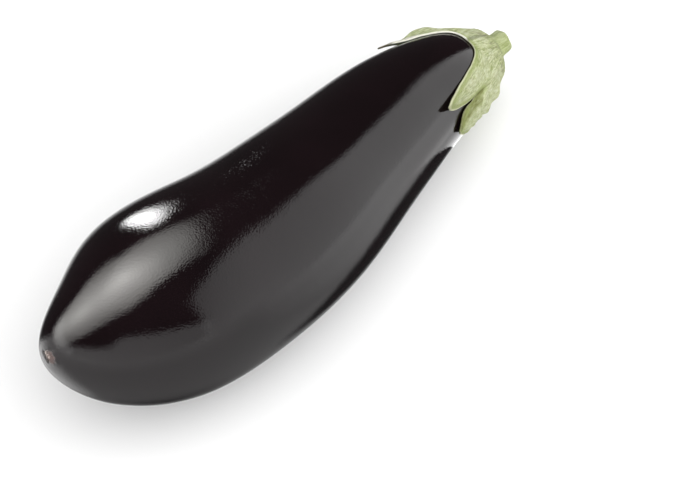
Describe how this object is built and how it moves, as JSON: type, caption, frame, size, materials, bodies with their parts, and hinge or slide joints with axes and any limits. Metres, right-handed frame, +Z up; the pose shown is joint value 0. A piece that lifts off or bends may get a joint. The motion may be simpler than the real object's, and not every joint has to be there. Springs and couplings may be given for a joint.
{
  "type": "eggplant",
  "caption": "Whole eggplant lying on its side: a bent, pear-shaped fruit with a smooth dark skin, a pointed green calyx and a short cut stem.",
  "frame": {"origin": "middle of the small flat spot that the fruit rests on", "axes": "+X along the fruit from the blossom end towards the stem, +Z up, with the bend hollow towards +Y"},
  "size_m": [0.2488, 0.081, 0.0799],
  "materials": {
    "skin": "near-black purple skin, waxy and glossy, with a fine grain",
    "calyx": "pale green, dry and fibrous, dusted grey, with a cut stem"
  },
  "bodies": {
    "root": {"fruit": "skin", "calyx": "calyx"}
  },
  "joints": []
}
